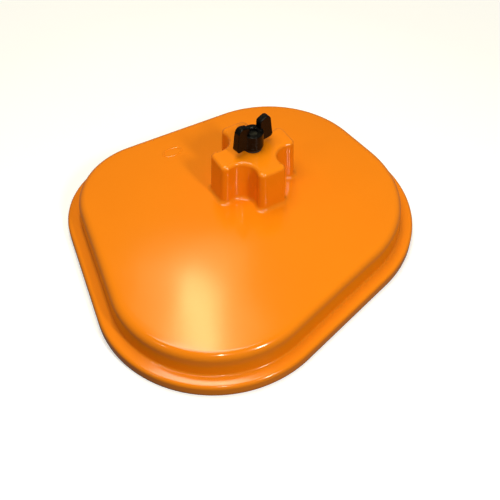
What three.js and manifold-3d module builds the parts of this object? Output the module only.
// Air filter housing: the lift-off cover of a small engine's air filter box.
// A formed plastic cover stands on its rim. A captive wing bolt hangs through the hollow boss.
// Millimetres, +Z up. Z = 0 is the plane of the rim. X = Y = 0 is the middle of the rim's box.

import * as THREE from 'three';
import { mergeVertices } from 'three/addons/utils/BufferGeometryUtils.js';
import Module from 'manifold-3d';

// ---- Driving dimensions ----

// Plan of the dish: the outline drawn tight round four circles, counter-clockwise.
const CORNERS = [
  { x: -43.8, y: 47.5, r: 54.7 },
  { x: -41.7, y: -32.8, r: 69.4 },
  { x: 32.5, y: -0.4, r: 78.7 },
  { x: 36.8, y: 29.2, r: 71.5 },
];
const STATION_ANGLE = THREE.MathUtils.degToRad(7.5); // step round the corners

const SHEET = 2.5; // thickness of the formed plastic sheet
const PLATEAU_Z = 25.2; // top face of the dish
const FLANGE_Z = 8.3; // top face of the flange
const WALL_DRAFT = THREE.MathUtils.degToRad(6);
const CROWN_R = 5.5; // rounding from plateau to wall
const FOOT_R = 1.5; // rounding from wall to flange
const RIM_OFFSET = 10.1; // outside of the rim, measured out from the plan
const RIM_R = 2.6; // rounding from flange to rim

// Hollow boss: a cross of four arms with a scallop between each pair.
const BOSS_X = 18.1;
const BOSS_Y = 22.4;
const BOSS_TOP_Z = 57.2;
const ARM_REACH = 28;
const ARM_CORNER_R = 4;
const SCALLOP_CENTRE = 19.2; // along both axes from the boss centre
const SCALLOP_R = 10.2;
const BOSS_EDGE_R = 2.4;
const BOSS_DRAFT = 0.045; // share by which the boss widens from top to foot

// M6 captive wing bolt with its washer and retaining ring.
const BOLT_R = 3;
const BOLT_TIP_Z = 3;
const TIP_CHAMFER = 0.8;
const HEAD_FLATS = 8;
const HEAD_H = 4;
const WASHER_R = 6.5;
const WASHER_H = 1.5;
const RING_R = 6;
const RING_H = 1;
const LIFT_TRAVEL = 6; // how far the loose bolt can be lifted

const HUB_R = 7.3;
const HUB_H = 12;
const HUB_EDGE_R = 1;
const HEAD_RECESS = 2.2; // depth of the round hole above the bolt head
const RECESS_R = 3.6;
const WING_SPAN = 30.6;
const WING_THICK = 5.2;
const WING_FOOT = 2.1; // underside of the wings above the underside of the hub
const WING_TOP = 20.3; // top of the wings above the underside of the hub
const WING_ROOT_X = 4.7; // inner edge of each wing, out from the bolt axis
const WING_PEAK_X = 10; // highest point of each wing, out from the bolt axis
const WING_FOOT_R = 2.4; // rounding of the lower outer corner
const WING_SHOULDER = 4.5; // drop from the top to the end of the straight outer edge
const WING_LEAN = 1.4; // how far the outer edge leans in
const WING_SLOPE = 2; // how steeply the top falls towards the hub
const WING_EDGE_R = 0.9;
const WING_ANGLE = THREE.MathUtils.degToRad(10);

// Foam strip stuck under the flange.
const GASKET_INNER = 0.8;
const GASKET_OUTER = 7.3;
const GASKET_BOTTOM_Z = 1.6;
const GASKET_EDGE = 0.6;

const GAP = 0.3; // clearance between pieces that touch
const SIDES = 32; // sides of a round piece
const WASHER_BEVEL = 0.3;
const RING_BEVEL = 0.15;

// ---- Materials ----

function material(color, roughness, metalness = 0) {
  return new THREE.MeshStandardMaterial({ color, roughness, metalness });
}
const orangePlastic = material(0xfc8612, 0.22);
const blackPlastic = material(0x17130f, 0.4);
const blackRubber = material(0x1b1a19, 0.75);
const greyFoam = material(0x2b2b2c, 0.95);
const blackSteel = material(0x2e2f31, 0.4, 1);

// ---- Joining and cutting ----

const wasm = await Module();
wasm.setup();

function toSolid(geometry) {
  const bare = geometry.clone();
  bare.deleteAttribute('normal');
  bare.deleteAttribute('uv');
  const merged = mergeVertices(bare, 1e-4);
  const index = merged.getIndex().array;
  const triangles = [];
  for (let i = 0; i < index.length; i += 3) {
    const [a, b, c] = index.slice(i, i + 3);
    const hasArea = a !== b && b !== c && c !== a;
    if (hasArea) {
      triangles.push(a, b, c);
    }
  }
  return new wasm.Manifold(new wasm.Mesh({
    numProp: 3,
    vertProperties: Float32Array.from(merged.getAttribute('position').array),
    triVerts: Uint32Array.from(triangles),
  }));
}

function toGeometry(solid) {
  const mesh = solid.getMesh();
  const geometry = new THREE.BufferGeometry();
  geometry.setAttribute('position', new THREE.BufferAttribute(mesh.vertProperties, 3));
  geometry.setIndex(new THREE.BufferAttribute(mesh.triVerts, 1));
  geometry.computeVertexNormals();
  return geometry;
}

// ---- Plan outline of the dish ----

// Points and outward normals round the plan. Straight stretches need no points between corners.
function planStations() {
  const turns = CORNERS.map((corner, i) => {
    const next = CORNERS[(i + 1) % CORNERS.length];
    const along = Math.atan2(next.y - corner.y, next.x - corner.x);
    const distance = Math.hypot(next.x - corner.x, next.y - corner.y);
    return along - Math.PI / 2 + Math.asin((corner.r - next.r) / distance);
  });
  const stations = [];
  CORNERS.forEach((corner, i) => {
    const start = turns[(i + CORNERS.length - 1) % CORNERS.length];
    const sweep = THREE.MathUtils.euclideanModulo(turns[i] - start, 2 * Math.PI);
    const steps = Math.ceil(sweep / STATION_ANGLE);
    for (let k = 0; k <= steps; k++) {
      const angle = start + (sweep * k) / steps;
      const normal = new THREE.Vector2(Math.cos(angle), Math.sin(angle));
      const foot = new THREE.Vector2(corner.x, corner.y).addScaledVector(normal, corner.r);
      stations.push({ foot, normal });
    }
  });
  return stations;
}

const STATIONS = planStations();
const LATHE_R = 100; // lathe radius that stands for the plan outline

// Turns a profile of (LATHE_R + offset from the plan, height) on a lathe, then lays it round the plan.
function roundPlan(profile) {
  const geometry = new THREE.LatheGeometry(profile, STATIONS.length);
  const position = geometry.getAttribute('position');
  for (let i = 0; i <= STATIONS.length; i++) {
    const { foot, normal } = STATIONS[i % STATIONS.length];
    profile.forEach((point, j) => {
      const onAxis = point.x < LATHE_R / 2;
      const offset = onAxis ? 0 : point.x - LATHE_R;
      const x = onAxis ? 0 : foot.x + normal.x * offset;
      const y = onAxis ? 0 : foot.y + normal.y * offset;
      position.setXYZ(i * profile.length + j, x, y, point.y);
    });
  }
  return geometry;
}

// ---- Cover shell ----

// Section of the dish: down the inside, under the rim, and back up over the outside.
function dishProfile() {
  const normal = new THREE.Vector2(Math.cos(WALL_DRAFT), Math.sin(WALL_DRAFT));
  const crown = new THREE.Vector2(-CROWN_R, PLATEAU_Z - CROWN_R);
  const footZ = FLANGE_Z + FOOT_R;
  const footX = (crown.dot(normal) + CROWN_R + FOOT_R - footZ * normal.y) / normal.x;
  const rimX = LATHE_R + RIM_OFFSET - RIM_R;
  const crownX = LATHE_R + crown.x;
  const wallX = LATHE_R + footX;
  const up = Math.PI / 2;
  const path = new THREE.Path();
  path.moveTo(0, PLATEAU_Z - SHEET);
  path.lineTo(crownX, PLATEAU_Z - SHEET);
  path.absarc(crownX, crown.y, CROWN_R - SHEET, up, WALL_DRAFT, true);
  path.absarc(wallX, footZ, FOOT_R + SHEET, Math.PI + WALL_DRAFT, 3 * up, false);
  path.lineTo(rimX + RIM_R - SHEET, FLANGE_Z - SHEET);
  path.lineTo(rimX + RIM_R - SHEET, 0);
  path.lineTo(rimX + RIM_R, 0);
  path.absarc(rimX, FLANGE_Z - RIM_R, RIM_R, 0, up, false);
  path.absarc(wallX, footZ, FOOT_R, 3 * up, Math.PI + WALL_DRAFT, true);
  path.absarc(crownX, crown.y, CROWN_R, WALL_DRAFT, up, false);
  path.lineTo(0, PLATEAU_Z);
  return path.getPoints(3);
}

// Cross outline with scallops, grown or shrunk by inset.
function crossShape(inset) {
  const reach = ARM_REACH - inset;
  const cornerR = ARM_CORNER_R - inset;
  const scallopR = SCALLOP_R + inset;
  const cornerX = reach - cornerR;
  const cornerY = SCALLOP_CENTRE - Math.sqrt((scallopR + cornerR) ** 2 - (SCALLOP_CENTRE - cornerX) ** 2);
  const lean = Math.atan2(SCALLOP_CENTRE - cornerY, SCALLOP_CENTRE - cornerX);
  const shape = new THREE.Shape();
  for (let quarter = 0; quarter < 4; quarter++) {
    const turn = (quarter * Math.PI) / 2;
    const place = (x, y) => new THREE.Vector2(x, y).rotateAround(new THREE.Vector2(), turn);
    const first = place(cornerX, cornerY);
    const scallop = place(SCALLOP_CENTRE, SCALLOP_CENTRE);
    const second = place(cornerY, cornerX);
    const mirrored = Math.PI / 2 - lean;
    shape.absarc(first.x, first.y, cornerR, turn, turn + lean, false);
    shape.absarc(scallop.x, scallop.y, scallopR, turn + lean + Math.PI, turn + mirrored - Math.PI, true);
    shape.absarc(second.x, second.y, cornerR, turn + mirrored, turn + Math.PI / 2, false);
  }
  return shape;
}

// Upright cross with rounded ends, wider towards its foot.
function crossBlock(inset, bottomZ, topZ, edgeR) {
  const geometry = new THREE.ExtrudeGeometry(crossShape(inset), {
    depth: topZ - bottomZ - 2 * edgeR,
    bevelThickness: edgeR,
    bevelSize: edgeR,
    bevelOffset: -edgeR,
    bevelSegments: 3,
    curveSegments: 3,
  });
  geometry.translate(0, 0, bottomZ + edgeR);
  const position = geometry.getAttribute('position');
  for (let i = 0; i < position.count; i++) {
    const drop = (BOSS_TOP_Z - position.getZ(i)) / (BOSS_TOP_Z - PLATEAU_Z);
    const widen = 1 + BOSS_DRAFT * drop;
    position.setXY(i, position.getX(i) * widen, position.getY(i) * widen);
  }
  return geometry.translate(BOSS_X, BOSS_Y, 0);
}

function coverShell() {
  const boltHole = new THREE.CylinderGeometry(BOLT_R + GAP, BOLT_R + GAP, 4 * SHEET, SIDES)
    .rotateX(Math.PI / 2)
    .translate(BOSS_X, BOSS_Y, BOSS_TOP_Z);
  const dish = toSolid(roundPlan(dishProfile()));
  const boss = toSolid(crossBlock(0, PLATEAU_Z - SHEET, BOSS_TOP_Z, BOSS_EDGE_R));
  const hollow = toSolid(crossBlock(SHEET, PLATEAU_Z - 2 * SHEET, BOSS_TOP_Z - SHEET, BOSS_EDGE_R / 4));
  return toGeometry(dish.add(boss).subtract(hollow).subtract(toSolid(boltHole)));
}

// ---- Rim gasket ----

function rimGasket() {
  const topZ = FLANGE_Z - SHEET - GAP;
  const inner = LATHE_R + GASKET_INNER;
  const outer = LATHE_R + GASKET_OUTER;
  return roundPlan([
    new THREE.Vector2(inner + GASKET_EDGE, GASKET_BOTTOM_Z),
    new THREE.Vector2(outer - GASKET_EDGE, GASKET_BOTTOM_Z),
    new THREE.Vector2(outer, GASKET_BOTTOM_Z + GASKET_EDGE),
    new THREE.Vector2(outer, topZ),
    new THREE.Vector2(inner, topZ),
    new THREE.Vector2(inner, GASKET_BOTTOM_Z + GASKET_EDGE),
    new THREE.Vector2(inner + GASKET_EDGE, GASKET_BOTTOM_Z),
  ]);
}

// ---- Pieces round the bolt axis, drawn with the axis at X = Y = 0 ----

const WASHER_Z = BOSS_TOP_Z + GAP;
const HUB_Z = WASHER_Z + WASHER_H + GAP;
const HUB_TOP_Z = HUB_Z + HUB_H;
const HEAD_TOP_Z = HUB_TOP_Z - HEAD_RECESS;
const HEAD_Z = HEAD_TOP_Z - HEAD_H;
const RING_TOP_Z = BOSS_TOP_Z - SHEET - GAP - LIFT_TRAVEL;

// Round solid from [radius, z] points, listed from the bottom up its outside.
function turned(points) {
  const profile = points.map(([radius, z]) => new THREE.Vector2(radius, z));
  return new THREE.LatheGeometry(profile, SIDES).rotateX(Math.PI / 2);
}

function plug(radius, bottomZ, topZ) {
  return turned([[0, bottomZ], [radius, bottomZ], [radius, topZ], [0, topZ]]);
}

// Flat ring from bottomZ upwards, with small bevels on its outer edges.
function flatRing(innerR, outerR, bottomZ, height, bevel) {
  return turned([
    [innerR, bottomZ],
    [outerR - bevel, bottomZ],
    [outerR, bottomZ + bevel],
    [outerR, bottomZ + height - bevel],
    [outerR - bevel, bottomZ + height],
    [innerR, bottomZ + height],
    [innerR, bottomZ],
  ]);
}

function sealWasher() {
  return flatRing(BOLT_R + GAP, WASHER_R, WASHER_Z, WASHER_H, WASHER_BEVEL);
}

function retainingRing() {
  return flatRing(BOLT_R + GAP, RING_R, RING_TOP_Z - RING_H, RING_H, RING_BEVEL);
}

function hexPrism(flats, bottomZ, height) {
  return new THREE.CylinderGeometry(flats / Math.sqrt(3), flats / Math.sqrt(3), height, 6)
    .rotateX(Math.PI / 2)
    .translate(0, 0, bottomZ + height / 2);
}

function bolt() {
  const shank = turned([
    [0, BOLT_TIP_Z],
    [BOLT_R - TIP_CHAMFER, BOLT_TIP_Z],
    [BOLT_R, BOLT_TIP_Z + TIP_CHAMFER],
    [BOLT_R, HEAD_Z + HEAD_H / 2],
    [0, HEAD_Z + HEAD_H / 2],
  ]);
  return toGeometry(toSolid(shank).add(toSolid(hexPrism(HEAD_FLATS, HEAD_Z, HEAD_H))));
}

// One wing in its own plane: x out from the bolt axis, y up from the underside of the hub.
function wingShape() {
  const reach = WING_SPAN / 2;
  const shoulderX = reach - WING_LEAN;
  const shape = new THREE.Shape();
  shape.moveTo(WING_ROOT_X, WING_FOOT);
  shape.lineTo(reach - WING_FOOT_R, WING_FOOT);
  shape.quadraticCurveTo(reach, WING_FOOT, reach, WING_FOOT + WING_FOOT_R);
  shape.lineTo(shoulderX, WING_TOP - WING_SHOULDER);
  shape.quadraticCurveTo(shoulderX, WING_TOP, WING_PEAK_X, WING_TOP);
  shape.quadraticCurveTo(WING_ROOT_X, WING_TOP - WING_SLOPE, WING_ROOT_X, WING_TOP - 2 * WING_SLOPE);
  return shape;
}

function wing(turn) {
  return new THREE.ExtrudeGeometry(wingShape(), {
    depth: WING_THICK - 2 * WING_EDGE_R,
    bevelThickness: WING_EDGE_R,
    bevelSize: WING_EDGE_R,
    bevelOffset: -WING_EDGE_R,
    bevelSegments: 2,
    curveSegments: 4,
  })
    .translate(0, 0, WING_EDGE_R - WING_THICK / 2)
    .rotateX(Math.PI / 2)
    .rotateZ(turn)
    .translate(0, 0, HUB_Z);
}

function wingGrip() {
  const hub = toSolid(turned([
    [0, HUB_Z],
    [HUB_R - HUB_EDGE_R, HUB_Z],
    [HUB_R, HUB_Z + HUB_EDGE_R],
    [HUB_R, HUB_TOP_Z - HUB_EDGE_R],
    [HUB_R - HUB_EDGE_R, HUB_TOP_Z],
    [0, HUB_TOP_Z],
  ]));
  const bore = toSolid(plug(BOLT_R + GAP, HUB_Z - GAP, HEAD_Z));
  const pocket = toSolid(hexPrism(HEAD_FLATS + 2 * GAP, HEAD_Z - GAP, HEAD_H + GAP));
  const recess = toSolid(plug(RECESS_R, HEAD_TOP_Z - GAP, HUB_TOP_Z + GAP));
  const body = hub.add(toSolid(wing(0))).add(toSolid(wing(Math.PI)));
  return toGeometry(body.subtract(bore).subtract(pocket).subtract(recess));
}

// ---- Assembly ----

const housing = new THREE.Group();

function addPiece(parent, name, geometry, look) {
  const mesh = new THREE.Mesh(geometry, look);
  mesh.name = name;
  parent.add(mesh);
}

addPiece(housing, 'cover_shell', coverShell(), orangePlastic);
addPiece(housing, 'rim_gasket', rimGasket(), greyFoam);

const boltAxis = new THREE.Group();
boltAxis.position.set(BOSS_X, BOSS_Y, 0);
housing.add(boltAxis);

addPiece(boltAxis, 'seal_washer', sealWasher(), blackRubber);

const wingBolt = new THREE.Group();
wingBolt.rotation.z = WING_ANGLE;
boltAxis.add(wingBolt);

addPiece(wingBolt, 'bolt', bolt(), blackSteel);
addPiece(wingBolt, 'retaining_ring', retainingRing(), blackSteel);
addPiece(wingBolt, 'wing_grip', wingGrip(), blackPlastic);

export default housing;
